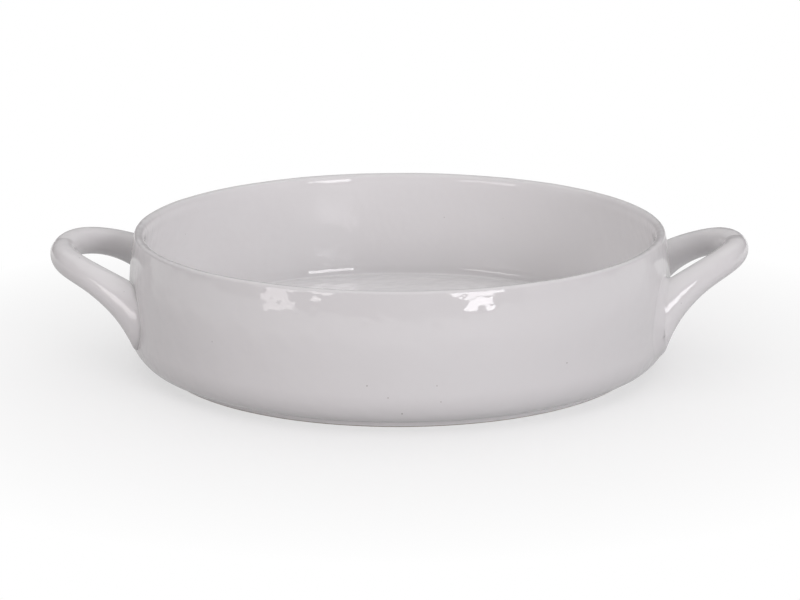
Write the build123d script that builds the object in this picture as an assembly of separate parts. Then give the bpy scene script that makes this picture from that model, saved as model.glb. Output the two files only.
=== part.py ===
from build123d import *
import math
import os

# A round glazed stoneware gratin dish with two loop handles, in millimetres.
# The origin is on the bowl's axis at the level it stands on. +Z is up and +X runs to the right handle.

# Bowl sizes
rim_radius = 130.0  # outside of the wall, where the rim's rounding starts
bowl_height = 65.9
wall_bulge = 3.2  # how far the belly stands out past the rim
wall_thickness = 5.8
wall_straight = 10.9  # upright band between the lower corner and the curved upper wall
rim_outer_round = 1.7
corner_run = 11.6  # the outside corner of wall and base, measured in towards the axis
corner_rise = 15.4  # and up the wall
inner_corner_round = 5.5
base_thickness = 6.5

# Foot ring sizes
foot_height = 3.75
foot_step = 3.0  # from the end of the outside corner in to the ring
foot_width = 6.0
foot_round = 1.0

# Handle sizes, the same for both handles. Each leg curves from the wall to the tip in one line,
# and so do its top and its underside.
handle_reach = 32.1  # from the belly out to the middle of the bar, at the tip
leg_spread = 39.5  # from the handle's middle to the middle of each leg, at the wall
leg_lead = 19.0  # how strongly a leg keeps the direction in which it leaves the wall
bow_lead = 26.4  # how strongly the bow stays square to the legs at the tip
leg_turn = 20.2  # degrees by which the legs lean in towards each other
root_bury = 5.3  # the curve starts this far inside the belly
root_overrun = 7.0  # and the leg runs on straight by this before it is coped to the wall
bar_width = 12.5  # at the tip
waist_width = 12.5
leg_width = 21.0  # where the curve starts
bar_height = 11.1  # at the tip
tip_drop = 7.9  # top of the bar below the rim, at the tip
bow_drop = 5.6  # the same line on its way to the wall
leg_drop = 11.9
root_drop = 19.1  # and where it starts, inside the wall
bow_under_drop = 22.9  # underside of the bar below the rim, on its way to the wall
leg_under_drop = 17.6
root_clear = 16.4  # and where it starts inside the wall, above the level that the dish stands on
sections_per_leg = 9
points_per_section = 16

# How each handle sits. They are stuck on by hand, so each has small angles of its own, in degrees.
# Roll is about the line out from the wall, yaw swings the tip sideways, tilt lifts it,
# and shift moves the handle round the wall. The first three turn about one point near the wall.
seat_drop = 17.9  # that point below the rim
seat_depth = 5.2  # and in from the belly
right_roll = 0.3
right_yaw = 0.5
right_tilt = 8.6
right_shift = -2.0
right_lift = -0.85
left_roll = -3.4
left_yaw = -3.3
left_tilt = 2.7
left_shift = 0.5
left_lift = 0.6

# Slip joint sizes
slip_thickness = 0.8  # the layer of clay slip between a leg and the wall
slip_bead = 1.2  # how far it is squeezed out round the leg
stub_share = 0.35  # share of a leg's length that is enough to shape the joint

# Places that follow from the sizes
belly_radius = rim_radius + wall_bulge
corner_radius = belly_radius - corner_run
corner_top = foot_height + corner_rise
belly_top = corner_top + wall_straight
floor_level = foot_height + base_thickness
foot_radius = corner_radius - foot_step
bow_radius = belly_radius + handle_reach
half_turn = 180
quarter_turn = 90

# The upper wall is one arc, upright at the belly, and the rim's two rounds touch it.
upper_run = bowl_height - rim_outer_round - belly_top
upper_arc = (upper_run**2 / wall_bulge + wall_bulge) / 2
upper_centre = (belly_radius - upper_arc, belly_top)
inner_arc = upper_arc - wall_thickness
outer_round_distance = upper_arc - rim_outer_round
outer_round_angle = math.degrees(math.asin(upper_run / outer_round_distance))
crest_run = math.sqrt(outer_round_distance**2 - upper_run**2)
crest_radius = upper_centre[0] + crest_run

# The inner round takes what the outer one leaves of the wall's thickness.
wall_rise = bowl_height - belly_top
rim_inner_round = (crest_run**2 - inner_arc**2 + wall_rise**2) / (inner_arc + wall_rise) / 2
inner_round_rise = wall_rise - rim_inner_round
inner_round_angle = math.degrees(math.asin(inner_round_rise / (inner_arc + rim_inner_round)))


def draw_outer_wall(grow):
    """Draw the outside from the underside's edge up to the rim's crest, moved out by grow."""
    EllipticalCenterArc(
        (corner_radius, corner_top),
        corner_run + grow,
        corner_rise + grow,
        start_angle=-quarter_turn,
        arc_size=quarter_turn,
    )
    Line((belly_radius + grow, corner_top), (belly_radius + grow, belly_top))
    CenterArc(upper_centre, upper_arc + grow, 0, outer_round_angle)
    round_centre = (crest_radius, bowl_height - rim_outer_round)
    CenterArc(round_centre, rim_outer_round + grow, outer_round_angle, quarter_turn - outer_round_angle)


def draw_inner_wall():
    """Draw the inside from the rim's crest down to the middle of the floor."""
    round_centre = (crest_radius, bowl_height - rim_inner_round)
    CenterArc(round_centre, rim_inner_round, quarter_turn, quarter_turn + inner_round_angle)
    CenterArc(upper_centre, inner_arc, 0, inner_round_angle)
    inside = belly_radius - wall_thickness
    corner_centre = (inside - inner_corner_round, floor_level + inner_corner_round)
    Line((inside, belly_top), (inside, corner_centre[1]))
    CenterArc(corner_centre, inner_corner_round, 0, -quarter_turn)
    Line((corner_centre[0], floor_level), (0, floor_level))


def build_bowl():
    """The bowl in one piece of clay: floor, wall, rounded rim and the foot ring it stands on."""
    ring_inside = foot_radius - foot_width
    with BuildPart() as bowl:
        with BuildSketch(Plane.XZ):
            with BuildLine():
                draw_outer_wall(0)
                draw_inner_wall()
                Polyline(
                    (0, floor_level),
                    (0, foot_height),
                    (ring_inside, foot_height),
                    (ring_inside, 0),
                    (foot_radius, 0),
                    (foot_radius, foot_height),
                    (corner_radius, foot_height),
                )
            make_face()
        revolve(axis=Axis.Z)
        fillet(bowl.edges().group_by(Axis.Z)[0], foot_round)
    return bowl.part


def build_envelope(grow):
    """The space inside the bowl's outer surface when that is moved out by grow."""
    top = bowl_height + grow
    underside = foot_height - grow
    with BuildPart() as envelope:
        with BuildSketch(Plane.XZ):
            with BuildLine():
                draw_outer_wall(grow)
                Polyline((crest_radius, top), (0, top), (0, underside), (corner_radius, underside))
            make_face()
        revolve(axis=Axis.Z)
    return envelope.part


def cubic(share, start, first_pull, second_pull, end):
    """A value that runs from start to end, bent by two pulls on the way (a cubic curve)."""
    rest = 1 - share
    pulled = 3 * rest * share * (rest * first_pull + share * second_pull)
    return rest**3 * start + pulled + share**3 * end


def cubic_slope(share, start, first_pull, second_pull, end):
    """How fast that value changes, to scale."""
    rest = 1 - share
    middle = 2 * rest * share * (second_pull - first_pull)
    return rest**2 * (first_pull - start) + middle + share**2 * (end - second_pull)


def leg_section(share, side, grow):
    """One upright oval section of a leg, grown by grow, at a share of the way from wall to tip.

    side is -1 for the front leg and 1 for the back one.
    """
    turn = math.radians(leg_turn)
    root = math.sqrt(belly_radius**2 - leg_spread**2) - root_bury
    out_line = (root, root + leg_lead * math.cos(turn), bow_radius, bow_radius)
    across_line = (leg_spread, leg_spread - leg_lead * math.sin(turn), bow_lead, 0)
    top = bowl_height - cubic(share, root_drop, leg_drop, bow_drop, tip_drop)
    under_start = bowl_height - root_clear
    under_end = tip_drop + bar_height
    under = bowl_height - cubic(share, under_start, leg_under_drop, bow_under_drop, under_end)
    width = cubic(share, leg_width, waist_width, waist_width, bar_width)
    middle = Vector(cubic(share, *out_line), side * cubic(share, *across_line), (top + under) / 2)
    # The oval stands across the leg's run, which goes from the front leg round to the back one.
    run = Vector(-side * cubic_slope(share, *out_line), -cubic_slope(share, *across_line), 0)
    outward = Vector(run.Y, -run.X, 0).normalized()
    across = outward * (width / 2 + grow)
    up = Vector(0, 0, (top - under) / 2 + grow)
    points = []
    for number in range(points_per_section):
        angle = 2 * math.pi * number / points_per_section
        points.append(middle + across * math.cos(angle) + up * math.sin(angle))
    return Face(Wire([Edge.make_spline(points, periodic=True)]))


def root_end(side, grow):
    """The straight wall end of a leg, from where its curve starts in through the wall."""
    section = leg_section(0, side, grow)
    turn = math.radians(leg_turn)
    inward = (-math.cos(turn), side * math.sin(turn), 0)
    return extrude(section, root_overrun, dir=inward)


def build_loop():
    """A whole handle before it is coped: one bar through its sections from front leg to back leg."""
    shares = [number / (sections_per_leg - 1) for number in range(sections_per_leg)]
    front = [leg_section(share, -1, 0) for share in shares]
    back = [leg_section(share, 1, 0) for share in reversed(shares[:-1])]
    return loft(front + back) + root_end(-1, 0) + root_end(1, 0)


def build_stub(side):
    """The wall end of one leg, fatter all round by the bead of slip."""
    steps = sections_per_leg - 1
    shares = [stub_share * number / steps for number in range(sections_per_leg)]
    return loft([leg_section(share, side, slip_bead) for share in shares]) + root_end(side, slip_bead)


def seat(shape, roll, yaw, tilt, shift, lift):
    """Turn and move a handle, or a part of one, from its plain place to where it was stuck on."""
    pivot = (belly_radius - seat_depth, 0, bowl_height - seat_drop)
    leaned = Pos(*pivot) * Rot(Z=yaw) * Rot(Y=-tilt) * Rot(X=roll) * Pos(-Vector(*pivot))
    return Rot(Z=shift) * Pos(0, 0, lift) * leaned * shape


bowl_space = build_envelope(0)
slip_space = build_envelope(slip_thickness)
slip_layer = slip_space - bowl_space
loop = build_loop()
right_seat = (right_roll, right_yaw, right_tilt, right_shift, right_lift)
left_seat = (left_roll, left_yaw, left_tilt, left_shift, left_lift)

# The left handle is the same loop turned half way round the bowl, so its front leg is the loop's back one.
parts = {"bowl": build_bowl()}
parts["right_handle"] = seat(loop, *right_seat) - slip_space
parts["left_handle"] = Rot(Z=half_turn) * (seat(loop, *left_seat) - slip_space)
for end, side in (("front", -1), ("rear", 1)):
    right_joint = seat(build_stub(side), *right_seat) & slip_layer
    left_joint = seat(build_stub(-side), *left_seat) & slip_layer
    parts["right_" + end + "_slip_joint"] = right_joint
    parts["left_" + end + "_slip_joint"] = Rot(Z=half_turn) * left_joint

os.makedirs("parts", exist_ok=True)
for node, shape in parts.items():
    export_step(shape, "parts/" + node + ".step")
    print(node, "solids", len(shape.solids()), "volume", round(shape.volume), "valid", shape.is_valid)
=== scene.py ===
import math

import bpy
import numpy as np
from mathutils import Matrix, Vector


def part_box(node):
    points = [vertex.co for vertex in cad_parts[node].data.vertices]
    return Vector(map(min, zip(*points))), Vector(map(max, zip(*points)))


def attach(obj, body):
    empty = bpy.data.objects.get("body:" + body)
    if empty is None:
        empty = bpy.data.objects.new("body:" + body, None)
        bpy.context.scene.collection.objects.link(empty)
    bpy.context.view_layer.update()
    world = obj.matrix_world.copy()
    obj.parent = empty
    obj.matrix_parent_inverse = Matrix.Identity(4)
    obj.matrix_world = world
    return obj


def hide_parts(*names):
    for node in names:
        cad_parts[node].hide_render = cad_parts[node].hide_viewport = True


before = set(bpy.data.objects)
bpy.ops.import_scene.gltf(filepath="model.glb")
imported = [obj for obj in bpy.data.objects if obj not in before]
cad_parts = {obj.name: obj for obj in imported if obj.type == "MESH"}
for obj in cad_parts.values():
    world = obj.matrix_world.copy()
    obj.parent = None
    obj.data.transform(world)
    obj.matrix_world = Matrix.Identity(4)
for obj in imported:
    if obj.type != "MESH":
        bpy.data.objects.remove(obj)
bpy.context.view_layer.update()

# The bowl.
# One piece of stoneware pressed in a mould: a flat floor, an upright wall that leans in to a rounded rim,
# and a foot ring set in from the wall. It is dipped in glaze, and the land of its foot ring is wiped bare.

belly_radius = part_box("bowl")[1].x
bowl_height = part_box("bowl")[1].z
wall_bulge = 0.0032
wall_thickness = 0.0058
wall_straight = 0.0109
rim_outer_round = 0.0017
rim_inner_depth = 0.0066
corner_run = 0.0116
corner_rise = 0.0154
inner_curve = 0.0100
inner_crease = 0.0006
crease_angle = 34
base_thickness = 0.0065
foot_height = 0.00375
foot_step = 0.0030
foot_width = 0.0060
foot_round = 0.0010
groove_round = 0.0008
profile_step = 0.0025
least_step = 0.0000025
groove_points = 7
land_points = 9
corner_points = 28
upper_points = 20
rim_outer_points = 14
rim_inner_points = 24
inner_curve_points = 16
crease_points = 7
bowl_columns = 360

corner_radius = belly_radius - corner_run
corner_top = foot_height + corner_rise
belly_top = corner_top + wall_straight
floor_level = foot_height + base_thickness
foot_radius = corner_radius - foot_step
upper_run = bowl_height - rim_outer_round - belly_top
upper_arc = (upper_run**2 / wall_bulge + wall_bulge) / 2
inner_arc = upper_arc - wall_thickness
upper_centre = belly_radius - upper_arc
outer_round_angle = math.degrees(math.asin(upper_run / (upper_arc - rim_outer_round)))
crest_run = math.sqrt((upper_arc - rim_outer_round) ** 2 - upper_run**2)
crest_radius = upper_centre + crest_run
inner_turn = math.asin((bowl_height - rim_inner_depth - belly_top) / inner_arc)


def arc(centre, radii, start, end, count):
    """Points of an oval's arc, from start to end in degrees: centre plus the radii times cosine and sine."""
    turns = np.radians(np.linspace(start, end, count))
    return np.column_stack((centre[0] + radii[0] * np.cos(turns), centre[1] + radii[1] * np.sin(turns)))


def line(start, end):
    """Points of a straight stretch, one profile step apart."""
    count = max(2, math.ceil(math.dist(start, end) / profile_step) + 1)
    return np.linspace(start, end, count)


def bend(start, corner, end, count):
    """Points of a curve that sets out from start towards the corner and comes to end away from it.

    At a share s of the way it is (1 - s)^2 start + 2 s (1 - s) corner + s^2 end.
    """
    share = np.linspace(0, 1, count)[:, None]
    start, corner, end = np.array((start, corner, end))
    ends = (1 - share) ** 2 * start + share**2 * end
    return ends + 2 * share * (1 - share) * corner


def bowl_profile():
    """The bowl's section as radius and height, from the middle of the underside round to that of the floor.

    It runs out under the base, round the foot ring, up the outer wall, over the rim and down inside.
    """
    ring_inside = foot_radius - foot_width
    inside = belly_radius - wall_thickness
    groove = (groove_round, groove_round)
    land = (foot_round, foot_round)
    groove_level = foot_height - groove_round
    rim_centre = (crest_radius, bowl_height - rim_outer_round)
    rim_end = bowl_height - rim_inner_depth
    rim_end_radius = upper_centre + inner_arc * math.cos(inner_turn)
    rim_corner = (rim_end_radius - rim_inner_depth * math.tan(inner_turn), bowl_height)
    crease_turn = math.radians(crease_angle)
    crease_drop = (inner_curve - inner_crease) * math.sin(crease_turn)
    curve_centre = (inside - inner_curve, floor_level + inner_crease + crease_drop)
    crease_across = (inner_curve - inner_crease) * math.cos(crease_turn)
    crease_centre = (curve_centre[0] + crease_across, floor_level + inner_crease)
    stretches = (
        line((profile_step, foot_height), (ring_inside - groove_round, foot_height)),
        arc((ring_inside - groove_round, groove_level), groove, 90, 0, groove_points),
        arc((ring_inside + foot_round, foot_round), land, 180, 270, land_points),
        line((ring_inside + foot_round, 0), (foot_radius - foot_round, 0)),
        arc((foot_radius - foot_round, foot_round), land, 270, 360, land_points),
        arc((foot_radius + groove_round, groove_level), groove, 180, 90, groove_points),
        arc((corner_radius, corner_top), (corner_run, corner_rise), 270, 360, corner_points),
        line((belly_radius, corner_top), (belly_radius, belly_top)),
        arc((upper_centre, belly_top), (upper_arc, upper_arc), 0, outer_round_angle, upper_points),
        arc(rim_centre, (rim_outer_round, rim_outer_round), outer_round_angle, 90, rim_outer_points),
        bend((crest_radius, bowl_height), rim_corner, (rim_end_radius, rim_end), rim_inner_points),
        arc((upper_centre, belly_top), (inner_arc, inner_arc), math.degrees(inner_turn), 0, upper_points),
        line((inside, belly_top), (inside, curve_centre[1])),
        arc(curve_centre, (inner_curve, inner_curve), 0, -crease_angle, inner_curve_points),
        arc(crease_centre, (inner_crease, inner_crease), -crease_angle, -90, crease_points),
        line((crease_centre[0], floor_level), (profile_step, floor_level)),
    )
    points = np.vstack(stretches)
    moved = np.hypot(*np.diff(points, axis=0).T) > least_step
    return points[np.append(True, moved)]


def grid_normals(grid):
    """Outward normals of rows of points: the step round the piece crossed with the step along it."""
    around = np.roll(grid, -1, axis=1) - np.roll(grid, 1, axis=1)
    along = np.gradient(grid, axis=0)
    normals = np.cross(around, along)
    return normals / np.linalg.norm(normals, axis=-1, keepdims=True)


rng = np.random.default_rng(5)
wave_count = 60
wave_shortest = 0.010
wave_longest = 0.045
wave_lengths = rng.uniform(wave_shortest, wave_longest, wave_count)
wave_ways = rng.normal(size=(wave_count, 3))
wave_ways *= (2 * math.pi / wave_lengths / np.linalg.norm(wave_ways, axis=1))[:, None]
wave_starts = rng.uniform(0, 2 * math.pi, wave_count)
wave_height = 0.00007


def unevenness(points):
    """How far the fired glaze stands off the true form: a sum of sine waves that run in all directions."""
    total = np.zeros(points.shape[:-1])
    for way, start, length in zip(wave_ways, wave_starts, wave_lengths):
        total += np.sin(points @ way + start) * length / wave_lengths.max()
    return total * wave_height / math.sqrt(wave_count / 2)


def make_piece(name, grid, first_pole, last_pole, normals=None):
    """A closed piece from rows of points.

    Quads join each row to the next, all the way round, and triangles close each end on its pole.
    Where normals are given, one for each point of the grid, they replace the mesh's own.
    """
    rows, columns = grid.shape[:2]
    here = np.arange(rows * columns).reshape(rows, columns)
    beside = np.roll(here, -1, axis=1)
    quads = np.stack((here[:-1], beside[:-1], beside[1:], here[1:]), axis=-1).reshape(-1, 4)
    first = np.full(columns, rows * columns)
    start_fan = np.column_stack((beside[0], here[0], first))
    end_fan = np.column_stack((here[-1], beside[-1], first + 1))
    points = np.vstack((grid.reshape(-1, 3), first_pole, last_pole))
    mesh = bpy.data.meshes.new(name)
    mesh.from_pydata(points.tolist(), [], quads.tolist() + start_fan.tolist() + end_fan.tolist())
    mesh.shade_smooth()
    if normals is not None:
        own = np.vstack((normals.reshape(-1, 3), np.zeros((2, 3))))
        mesh.normals_split_custom_set_from_vertices(own.tolist())
    piece = bpy.data.objects.new(name, mesh)
    bpy.context.scene.collection.objects.link(piece)
    return piece


class Shade:
    """A value on its way through a finish. Sums on it add Math nodes, so 1 - mask reads as it is."""

    def __init__(self, finish, socket):
        self.finish = finish
        self.socket = socket

    def do(self, operation, first, second=0.0, third=0.0):
        settings = {"operation": operation}
        return self.finish.node("ShaderNodeMath", settings, {0: first, 1: second, 2: third})

    def __add__(self, other):
        return self.do("ADD", self, other)

    __radd__ = __add__

    def __sub__(self, other):
        return self.do("SUBTRACT", self, other)

    def __rsub__(self, other):
        return self.do("SUBTRACT", other, self)

    def __mul__(self, other):
        return self.do("MULTIPLY", self, other)

    __rmul__ = __mul__

    def step_down(self, edge, soft):
        """1 below edge, 0 above it, and a straight slope of width soft between."""
        slope = (edge + soft / 2 - self) * (1 / soft)
        return self.do("MINIMUM", self.do("MAXIMUM", slope, 0.0), 1.0)


class Finish:
    """A material made from nodes, or other nodes of that kind where a tree is given."""

    def __init__(self, name, tree=None):
        if tree is None:
            self.material = bpy.data.materials.new(name)
            self.material.use_nodes = True
            tree = self.material.node_tree
        self.tree = tree
        self.tree.nodes.clear()

    def node(self, kind, settings=None, sockets=None, output=0):
        """Add a node: its settings first, then each socket's value or link, by name or number."""
        made = self.tree.nodes.new(kind)
        for name, value in (settings or {}).items():
            setattr(made, name, value)
        for name, value in (sockets or {}).items():
            if isinstance(value, Shade):
                self.tree.links.new(value.socket, made.inputs[name])
            else:
                made.inputs[name].default_value = value
        return Shade(self, made.outputs[output]) if made.outputs else made

    def mix(self, share, first, second):
        """A colour between two, by a share that runs from 0 to 1."""
        return self.node("ShaderNodeMix", {"data_type": "RGBA"}, {0: share, 6: first, 7: second}, output=2)

    def noise(self, place, size, detail=2.0):
        """Smooth noise about a half whose lumps are about that size, in metres."""
        sockets = {"Vector": place, "Scale": 1 / size, "Detail": detail}
        return self.node("ShaderNodeTexNoise", {"noise_dimensions": "3D"}, sockets)

    def close(self, shader):
        self.node("ShaderNodeOutputMaterial", None, {"Surface": shader})
        return self.material


glaze_colour = (0.872, 0.865, 0.866, 1)
glaze_warm = (0.862, 0.851, 0.852, 1)
# Painted light: the handles' glaze is painted lighter than the bowl's, for light the handles miss.
handle_glaze_painted_lighter = (0.930, 0.922, 0.923, 1)
# Painted light: the bowl's floor is painted paler, in place of the light that the floor catches.
painted_floor_light = (0.975, 0.970, 0.972, 1)
pinhole_colour = (0.24, 0.21, 0.19, 1)
bisque_colour = (0.46, 0.40, 0.34, 1)
glaze_roughness = 0.01
glaze_ior = 1.52
bisque_roughness = 0.85
bare_height = 0.0005
painted_light_top = floor_level + 0.0007
painted_light_bottom = floor_level - 0.001
painted_light_edge = 0.0005
painted_light_side_edge = 0.001
mottle_size = 0.045
mottle_edge = 0.5
mottle_roughness = 0.01
noise_middle = 0.5
ripple_size = 0.008
ripple_height = 0.0003
peel_size = 0.0030
peel_height = 0.000004
pinhole_cell = 0.0085
pinhole_radius = 0.00026
pinhole_depth = 0.00006
pinhole_edge = 0.012
pinhole_tint = 0.7
pinhole_roughness = 0.3
burst_bubbles = (
    (-0.0146, -0.1324, 0.0237, 0.00030),
    (-0.0053, -0.1331, 0.0183, 0.00028),
    (0.0009, -0.1311, 0.0103, 0.00036),
    (0.0164, -0.1322, 0.0236, 0.00024),
    (0.0182, -0.1317, 0.0160, 0.00024),
    (0.0754, -0.1098, 0.0276, 0.00029),
)


def glazed(name, tone, pits, bubbles=()):
    """Off-white gloss glaze over stoneware, with faint mottling, ripples and a few pinholes.

    It is bare clay below bare_height, where the foot was wiped, and painted paler on the bowl's floor, as
    painted light that stands in for the light the floor catches.
    tone is its main colour, mottled with a warmer one, and the handles' tone is painted lighter, as painted
    light. pits scales the size of the pinholes. Each bubble that burst in it is given by its place and
    radius.
    """
    finish = Finish(name)
    place = finish.node("ShaderNodeTexCoord", None, None, output="Object")
    mottle = finish.noise(place, mottle_size)
    ripple = finish.noise(place, ripple_size, 1.0)
    peel = finish.noise(place, peel_size, 1.0)
    cells = {"Vector": place, "Scale": 1 / pinhole_cell}
    pit_away = finish.node("ShaderNodeTexVoronoi", {"feature": "F1"}, cells, output="Distance")
    pit_kind = finish.node("ShaderNodeTexVoronoi", {"feature": "F1"}, cells, output="Color")
    pit_size = finish.node("ShaderNodeSeparateColor", None, {0: pit_kind}) * pits
    pinhole = (pit_away - pit_size * (pinhole_radius / pinhole_cell)).step_down(0.0, pinhole_edge)
    for *spot, radius in bubbles:
        apart = {0: place, 1: spot}
        off = finish.node("ShaderNodeVectorMath", {"operation": "DISTANCE"}, apart, output="Value")
        pinhole = pinhole + off.step_down(radius, radius / 2)
    height = finish.node("ShaderNodeSeparateXYZ", None, {0: place}, output="Z")
    bare = height.step_down(bare_height, bare_height / 2)
    colour = finish.mix(mottle.step_down(noise_middle, mottle_edge), tone, glaze_warm)
    # Painted light: the floor of the bowl, out to the inner wall, is painted paler for the light it catches.
    on_floor = height.step_down(painted_light_top, painted_light_edge) - height.step_down(painted_light_bottom, painted_light_edge)
    across = finish.node("ShaderNodeVectorMath", {"operation": "MULTIPLY"}, {0: place, 1: (1, 1, 0)})
    reach = finish.node("ShaderNodeVectorMath", {"operation": "LENGTH"}, {0: across}, output="Value")
    painted_floor_share = on_floor * reach.step_down(belly_radius - wall_thickness, painted_light_side_edge)
    colour = finish.mix(painted_floor_share, colour, painted_floor_light)
    colour = finish.mix(pinhole * pinhole_tint, colour, pinhole_colour)
    colour = finish.mix(bare, colour, bisque_colour)
    roughness = glaze_roughness + mottle * mottle_roughness
    roughness = roughness + pinhole * pinhole_roughness + bare * bisque_roughness
    relief = ripple * ripple_height + peel * peel_height - pinhole * pinhole_depth
    bump = finish.node("ShaderNodeBump", None, {"Strength": 1.0, "Distance": 1.0, "Height": relief})
    shader = finish.node(
        "ShaderNodeBsdfPrincipled",
        None,
        {"Base Color": colour, "Roughness": roughness, "IOR": glaze_ior, "Normal": bump},
    )
    return finish.close(shader)


profile = bowl_profile()
turns = np.linspace(0, 2 * math.pi, bowl_columns, endpoint=False)
bowl_grid = np.stack(
    (
        profile[:, :1] * np.cos(turns),
        profile[:, :1] * np.sin(turns),
        np.repeat(profile[:, 1:], bowl_columns, axis=1),
    ),
    axis=-1,
)
settled = unevenness(bowl_grid) * np.clip(profile[:, 1:] / foot_height, 0, 1)
bowl_grid += grid_normals(bowl_grid) * settled[..., None]
bowl = make_piece("glazed_bowl", bowl_grid, (0, 0, foot_height), (0, 0, floor_level))
bowl.data.materials.append(glazed("bowl_glaze", glaze_colour, 1.0, burst_bubbles))
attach(bowl, "root")
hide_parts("bowl")


# The handles.
# Each is a bar of the same clay bent into a loop. Its two ends flare into tall roots, which are scored,
# wetted with slip and pressed on to the leather-hard wall. They are set by hand, so no two sit alike.

handle_reach = 0.0321
leg_spread = 0.0395
leg_lead = 0.0190
bow_lead = 0.0264
leg_turn = math.radians(20.2)
root_bury = 0.0053
bar_width = 0.0125
waist_width = 0.0125
leg_width = 0.0210
bar_height = 0.0111
tip_drop = 0.0079
bow_drop = 0.0056
leg_drop = 0.0119
root_drop = 0.0191
bow_under_drop = 0.0229
leg_under_drop = 0.0176
root_clear = 0.0164
root_ease = 0.015
squareness = 2.2
root_share = 0.3
seat_drop = 0.0179
seat_depth = 0.0052
handle_columns = 128
handle_rows = 180
root_rows = 24
root_stretch = 0.0080
root_spacing = 1.6
root_search = (-0.3, 0.6)
root_halvings = 40
end_shares = (0.25, 0.99)
slip_thickness = 0.0008
slip_sink = 0.000006


def cubic(share, start, first_pull, second_pull, end):
    """A value that runs from start to end, bent by two pulls on the way (a cubic curve)."""
    rest = 1 - share
    return rest**3 * start + 3 * rest * share * (rest * first_pull + share * second_pull) + share**3 * end


def cubic_slope(share, start, first_pull, second_pull, end):
    """How fast that value changes, to scale."""
    rest = 1 - share
    middle = 2 * rest * share * (second_pull - first_pull)
    return rest**2 * (first_pull - start) + middle + share**2 * (end - second_pull)


def loop_surface(along, around):
    """Points on the plain loop and the ways out of its sections, before it is set on the wall.

    along runs from 0 at the front root to 1 at the tip and 2 at the rear root. Each section is an upright
    oval across the run: its middle plus half its width and half its height times the cosine and sine
    of around. Past a root, inside the wall, the section soon stops growing.
    """
    share = 1 - abs(along - 1)
    side = np.where(along < 1, -1, 1)
    root = math.sqrt(belly_radius**2 - leg_spread**2) - root_bury
    bow_radius = belly_radius + handle_reach
    out_line = (root, root + leg_lead * math.cos(leg_turn), bow_radius, bow_radius)
    across_line = (leg_spread, leg_spread - leg_lead * math.sin(leg_turn), bow_lead, 0)
    eased = np.maximum(share, 0) - root_ease * (1 - np.exp(np.minimum(share, 0) / root_ease))
    top = bowl_height - cubic(eased, root_drop, leg_drop, bow_drop, tip_drop)
    under_line = (bowl_height - root_clear, leg_under_drop, bow_under_drop, tip_drop + bar_height)
    under = bowl_height - cubic(eased, *under_line)
    width = cubic(eased, leg_width, waist_width, waist_width, bar_width)
    zero = np.zeros_like(share)
    out, sideways = cubic(share, *out_line), side * cubic(share, *across_line)
    middle = np.stack((out, sideways, (top + under) / 2), axis=-1)
    out_slope, across_slope = cubic_slope(share, *out_line), cubic_slope(share, *across_line)
    run = np.stack((-side * out_slope, -across_slope, zero), axis=-1)
    run /= np.linalg.norm(run, axis=-1, keepdims=True)
    across = np.stack((-run[..., 1], run[..., 0], zero), axis=-1)
    up = np.array((0, 0, 1.0))
    cosine, sine = np.cos(around)[..., None], np.sin(around)[..., None]
    half_width, half_height = width[..., None] / 2, (top - under)[..., None] / 2
    power = 2 / (2 + (squareness - 2) * np.clip(share / root_share, 0, 1))[..., None]
    aside, above = np.sign(cosine) * abs(cosine) ** power, np.sign(sine) * abs(sine) ** power
    points = middle + across * half_width * aside + up * half_height * above
    ways = np.sign(cosine) * abs(cosine) ** (2 - power), np.sign(sine) * abs(sine) ** (2 - power)
    outward = across * ways[0] / half_width + up * ways[1] / half_height
    return points, outward / np.linalg.norm(outward, axis=-1, keepdims=True)


def wall_radius(height):
    """The bowl's outside radius at a height: the corner's oval, the straight band, then the upper arc."""
    low = np.clip((corner_top - height) / corner_rise, 0, 1)
    high = np.clip(height - belly_top, 0, upper_run)
    corner = corner_radius + corner_run * np.sqrt(1 - low**2)
    upper = upper_centre + np.sqrt(upper_arc**2 - high**2)
    return np.where(height < belly_top, corner, upper)


def off_wall(points):
    """Distance of each point out from the bowl's wall, and the wall's outward normal beside it."""
    height = points[..., 2]
    radius = np.hypot(points[..., 0], points[..., 1])
    nudge = profile_step / 100
    slope = (wall_radius(height + nudge) - wall_radius(height - nudge)) / (2 * nudge)
    level = 1 / np.sqrt(1 + slope**2)
    normal = np.stack((points[..., 0] / radius, points[..., 1] / radius, -slope), axis=-1) * level[..., None]
    return (radius - wall_radius(height)) * level, normal


def seat_matrix(half_turned, roll, yaw, tilt, shift, lift):
    """Where a handle sits: turned about a point by its roots, lifted, and shifted round the wall.

    The angles are in degrees. half_turned is 1 for the handle across the bowl and 0 for the other.
    """
    pivot = Matrix.Translation((belly_radius - seat_depth, 0, bowl_height - seat_drop))
    lean = (
        Matrix.Rotation(math.radians(yaw), 4, "Z")
        @ Matrix.Rotation(-math.radians(tilt), 4, "Y")
        @ Matrix.Rotation(math.radians(roll), 4, "X")
    )
    turn = Matrix.Rotation(math.radians(shift + half_turned * 180), 4, "Z")
    return np.array(turn @ Matrix.Translation((0, 0, lift)) @ pivot @ lean @ pivot.inverted())


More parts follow.
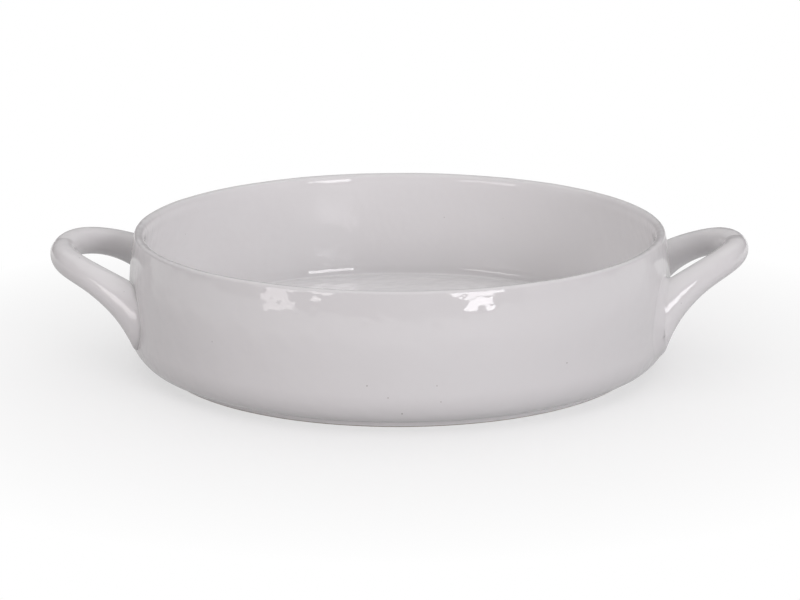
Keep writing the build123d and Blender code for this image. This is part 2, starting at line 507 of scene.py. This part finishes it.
def make_handle(side, matrix, bead, tuck, tuck_stretch, finish, slip_finish):
    """One handle and the two slip joints at its roots.

    The loop's surface is followed along its lines of constant angle round the bar. A point near the wall
    moves sideways, away from the bar, by how much the bead of slip stands out there, a quarter circle of
    radius bead, less how far the bar's end is tucked in, a parabola over tuck_stretch.
    """
    around = np.linspace(0, 2 * math.pi, handle_columns, endpoint=False)

    def seated(along):
        points, outward = loop_surface(along, np.broadcast_to(around, along.shape))
        return points @ matrix[:3, :3].T + matrix[:3, 3], outward @ matrix[:3, :3].T

    def root_along(distances, rear):
        """Where along the loop each line stands at a distance off the wall, by halving a stretch."""
        low = np.full((len(distances), handle_columns), root_search[0])
        high = np.full_like(low, root_search[1])
        for halving in range(root_halvings):
            middle = (low + high) / 2
            away = off_wall(seated(2 - middle if rear else middle)[0])[0]
            low = np.where(away < distances[:, None], middle, low)
            high = np.where(away < distances[:, None], high, middle)
        return 2 - low if rear else low

    def rows_at(distances, rear, flare):
        """Rows of points at distances off the wall, moved sideways by the bead and the tuck."""
        points, outward = seated(root_along(distances, rear))
        normal = off_wall(points)[1]
        sideways = outward - (outward * normal).sum(-1, keepdims=True) * normal
        sideways /= np.linalg.norm(sideways, axis=-1, keepdims=True)
        near = np.clip(1 - distances / tuck_stretch, 0, 1)
        offset = -tuck * near**2
        if flare:
            offset = offset + bead - np.sqrt(bead**2 - (bead - np.clip(distances, 0, bead)) ** 2)
        points = points + sideways * offset[:, None, None]
        away, normal = off_wall(points)
        return points + normal * (distances[:, None] - away)[..., None]

    bead_turns = np.linspace(0, math.pi / 2, root_rows)
    bead_distances = bead * (1 - np.cos(bead_turns))
    root_distances = bead + (root_stretch - bead) * np.linspace(0, 1, root_rows) ** root_spacing
    ends = [root_along(root_distances[-1:], rear) for rear in (False, True)]
    share = np.linspace(0, 1, handle_rows)[1:-1, None]
    bar = seated(ends[0] * (1 - share) + ends[1] * share)[0]
    front_bead, rear_bead = (rows_at(bead_distances, rear, True) for rear in (False, True))
    front_root, rear_root = (rows_at(root_distances, rear, False) for rear in (False, True))
    whole = np.concatenate((front_bead[:-1], front_root, bar, rear_root[::-1], rear_bead[::-1][1:]))
    normals = grid_normals(whole)
    whole = whole + normals * unevenness(whole)[..., None]

    end_distances = bead * np.array(end_shares)
    front_end, rear_end = (rows_at(end_distances, rear, False) for rear in (False, True))
    hidden = np.zeros_like(front_end)
    shown = slice(root_rows - 1, len(whole) - root_rows + 1)
    grid = np.concatenate((front_end, whole[shown], rear_end[::-1]))
    own = np.concatenate((hidden, normals[shown], hidden))
    handle = make_piece(side + "_handle_bar", grid, grid[0].mean(0), grid[-1].mean(0), own)
    handle.data.materials.append(finish)
    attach(handle, "root")
    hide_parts(side + "_handle")
    for end, rows, way, inner in (
        ("front", slice(0, root_rows), 1, front_end),
        ("rear", slice(len(whole) - root_rows, len(whole)), -1, rear_end),
    ):
        skin = whole[rows][::way]
        skin_normals = normals[rows][::way]
        skin_normals[0] = off_wall(skin[0])[1]
        skin[0] -= skin_normals[0] * slip_sink
        skirt = skin[0] - skin_normals[0] * slip_thickness / 2
        foot = skirt.mean(0)
        grid = np.concatenate((skirt[None], skin, inner[::-1]))
        own = np.concatenate((hidden[:1], skin_normals, hidden))
        first, last = foot, inner[0].mean(0)
        if way < 0:
            grid, own, first, last = grid[::-1], own[::-1], last, first
        joint = make_piece(side + "_" + end + "_slip_bead", grid, first, last, own)
        joint.data.materials.append(slip_finish)
        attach(joint, "root")
        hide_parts(side + "_" + end + "_slip_joint")


glazes = {
    # The handles get the lighter, painted-light tone of the glaze.
    "finish": glazed("handle_glaze", handle_glaze_painted_lighter, 1.0),
    "slip_finish": glazed("slip_joint_glaze", glaze_colour, 1.6),
}
right_seat = seat_matrix(half_turned=0, roll=0.3, yaw=0.5, tilt=8.6, shift=-2.0, lift=-0.00105)
left_seat = seat_matrix(half_turned=1, roll=-3.4, yaw=-3.3, tilt=2.7, shift=0.5, lift=0.0004)
make_handle("right", right_seat, bead=0.0035, tuck=0.0, tuck_stretch=0.0020, **glazes)
make_handle("left", left_seat, bead=0.0005, tuck=0.0014, tuck_stretch=0.0024, **glazes)


# The table and the light.
# The dish stands on a plain white table, which is grey for the light that it throws back on the dish. A soft
# light with a narrower one under it stands at the right of the camera, and a weaker pair at its left. Faint
# panels stand at both sides and hang overhead and behind. The room is dim and pale all round.

table_half = 8.0
table_level = -0.00002
table_colour = (0.5, 0.5, 0.5, 1)
shadow_reach = 0.21
shadow_fade = 0.16
shadow_depth = 0.42
mirror_reach = 0.42
mirror_fade = 0.20
mirror_depth = 0.55
table_mesh = bpy.data.meshes.new("table")
corners = [(x * table_half, y * table_half, table_level) for x, y in ((-1, -1), (1, -1), (1, 1), (-1, 1))]
table_mesh.from_pydata(corners, [], [(0, 1, 2, 3)])
table = bpy.data.objects.new("table", table_mesh)
bpy.context.scene.collection.objects.link(table)
table_finish = Finish("white_table")
place = table_finish.node("ShaderNodeTexCoord", output="Object")
away = table_finish.node("ShaderNodeVectorMath", {"operation": "LENGTH"}, {0: place}, output="Value")
seen = table_finish.node("ShaderNodeLightPath", output="Is Camera Ray")
mirrored = table_finish.node("ShaderNodeLightPath", output="Is Glossy Ray")
mirrored = mirrored + table_finish.node("ShaderNodeLightPath", output="Is Transmission Ray")
near = away.step_down(shadow_reach, shadow_fade) * shadow_depth
near_mirrored = away.step_down(mirror_reach, mirror_fade) * mirror_depth
white_share = seen * (1 - near) + mirrored * (1 - near_mirrored)
table_tone = table_finish.mix(seen, table_colour, (1, 1, 1, 1))
lit = table_finish.node("ShaderNodeBsdfDiffuse", None, {"Color": table_tone})
white = table_finish.node("ShaderNodeEmission", None, {"Color": (1, 1, 1, 1), "Strength": 1.0})
table_white = table_finish.node("ShaderNodeMixShader", None, {0: white_share, 1: lit, 2: white})
table.data.materials.append(table_finish.close(table_white))

room_level = 0.18
world = bpy.data.worlds.new("room")
bpy.context.scene.world = world
world.use_nodes = True
room = Finish("room_light", world.node_tree)
room_tone = {"Color": (1, 0.92, 0.96, 1), "Strength": room_level}
room_glow = room.node("ShaderNodeBackground", None, room_tone)
room.node("ShaderNodeOutputWorld", None, {"Surface": room_glow})
right_tone = (1, 0.97, 1)
left_tone = (1, 0.95, 0.96)


def soft_light(name, azimuth, elevation, distance, width, height, radiance, colour):
    """A rectangular light that faces the dish. Its power is radiance times pi times its area.

    azimuth runs from the front round to the right and elevation up, in degrees.
    """
    data = bpy.data.lights.new(name, "AREA")
    data.shape = "RECTANGLE"
    data.size = width
    data.size_y = height
    data.energy = radiance * math.pi * width * height
    data.color = colour
    light = bpy.data.objects.new(name, data)
    bpy.context.scene.collection.objects.link(light)
    turn, rise = math.radians(azimuth), math.radians(elevation)
    away = Vector((math.sin(turn) * math.cos(rise), -math.cos(turn) * math.cos(rise), math.sin(rise)))
    light.location = away * distance
    light.rotation_mode = "QUATERNION"
    light.rotation_quaternion = away.to_track_quat("Z", "Y")


soft_light("right_softbox", 33.0, 18.2, 2.7, 0.98, 0.88, 6.9, right_tone)
soft_light("right_reflector", 31.6, 5.4, 2.7, 0.54, 0.26, 8.0, right_tone)
soft_light("left_softbox", -49.7, 4.4, 2.7, 0.60, 0.38, 3.4, left_tone)
soft_light("left_strip", -43.2, 14.3, 2.7, 1.40, 0.58, 4.1, left_tone)
soft_light("right_panel", 72.0, 18.0, 2.7, 2.0, 1.6, 0.55, right_tone)
soft_light("left_panel", -78.0, 18.0, 2.7, 2.0, 1.6, 0.28, (1, 0.97, 0.98))
soft_light("back_panel", 180.0, 45.0, 2.6, 5.0, 3.0, 0.30, (1, 1, 1))
soft_light("top_panel", 0.0, 89.0, 2.2, 4.0, 4.0, 0.50, (0.98, 1, 0.99))

# The camera.
# It stands in front of the dish, a little above it, and looks slightly down into the bowl.

camera_distance = 1.2003
camera_elevation = math.radians(14.688)
camera_roll = math.radians(-0.1057)
camera_target = Vector((0.0001, 0, 0.02832))
focal_pixels = 2424.84
picture_width = 800
camera_data = bpy.data.cameras.new("camera")
camera_data.sensor_width = 36
camera_data.lens = camera_data.sensor_width * focal_pixels / picture_width
camera = bpy.data.objects.new("camera", camera_data)
bpy.context.scene.collection.objects.link(camera)
back = Vector((0, -math.cos(camera_elevation), math.sin(camera_elevation)))
turned = Matrix.Rotation(math.pi / 2 - camera_elevation, 4, "X") @ Matrix.Rotation(camera_roll, 4, "Z")
camera.matrix_world = Matrix.Translation(camera_target + back * camera_distance) @ turned
bpy.context.scene.camera = camera
bpy.context.scene.view_settings.view_transform = "Standard"
